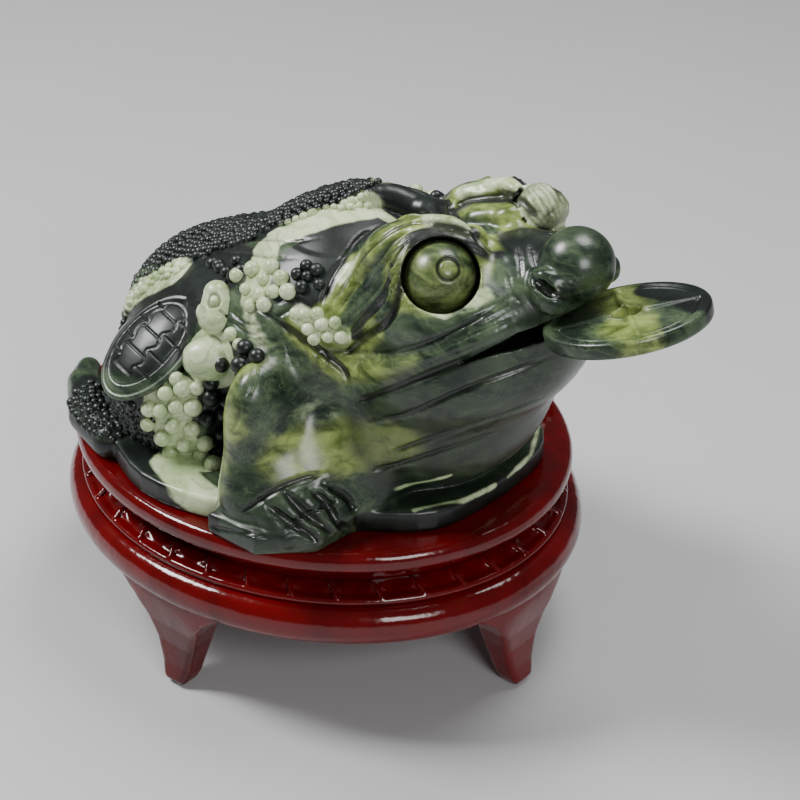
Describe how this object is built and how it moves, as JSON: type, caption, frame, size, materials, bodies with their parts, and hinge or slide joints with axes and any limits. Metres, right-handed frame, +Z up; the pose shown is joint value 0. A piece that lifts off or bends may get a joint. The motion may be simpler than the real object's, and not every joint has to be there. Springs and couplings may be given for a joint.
{
  "type": "jade money toad on stand",
  "caption": "Carved green stone money toad holding a coin in its mouth, resting on an oval red-lacquered wooden stand with bracket legs.",
  "frame": {"origin": "on the floor, at the centre of the whole object's outline seen from above, the coin included", "axes": "+X the way the toad faces, +Z up, +Y the toad's left"},
  "size_m": [0.284, 0.191, 0.2055],
  "materials": {
    "green_stone": "polished",
    "coin_stone": "polished",
    "red_lacquer": "gloss lacquer",
    "peg_wood": "plain",
    "screw_steel": "zinc plated"
  },
  "bodies": {
    "stand": {"stand_deck": "red_lacquer", "stand_waist": "red_lacquer", "stand_beading": "red_lacquer", "stand_apron": "red_lacquer", "leg_front": "red_lacquer", "leg_left": "red_lacquer", "leg_rear": "red_lacquer", "leg_right": "red_lacquer", "leg_dowels": "peg_wood", "deck_screws": "screw_steel"},
    "toad": {"toad_carving": "green_stone"},
    "coin": {"coin": "coin_stone"}
  },
  "joints": [
    {"name": "toad_lift", "type": "slide", "parent": "stand", "child": "toad", "axis": [0, 0, 1], "range_m": [0, 0.06]},
    {"name": "coin_slide", "type": "slide", "parent": "toad", "child": "coin", "axis": [0.9613, 0, 0.2756], "range_m": [0, 0.06]}
  ]
}
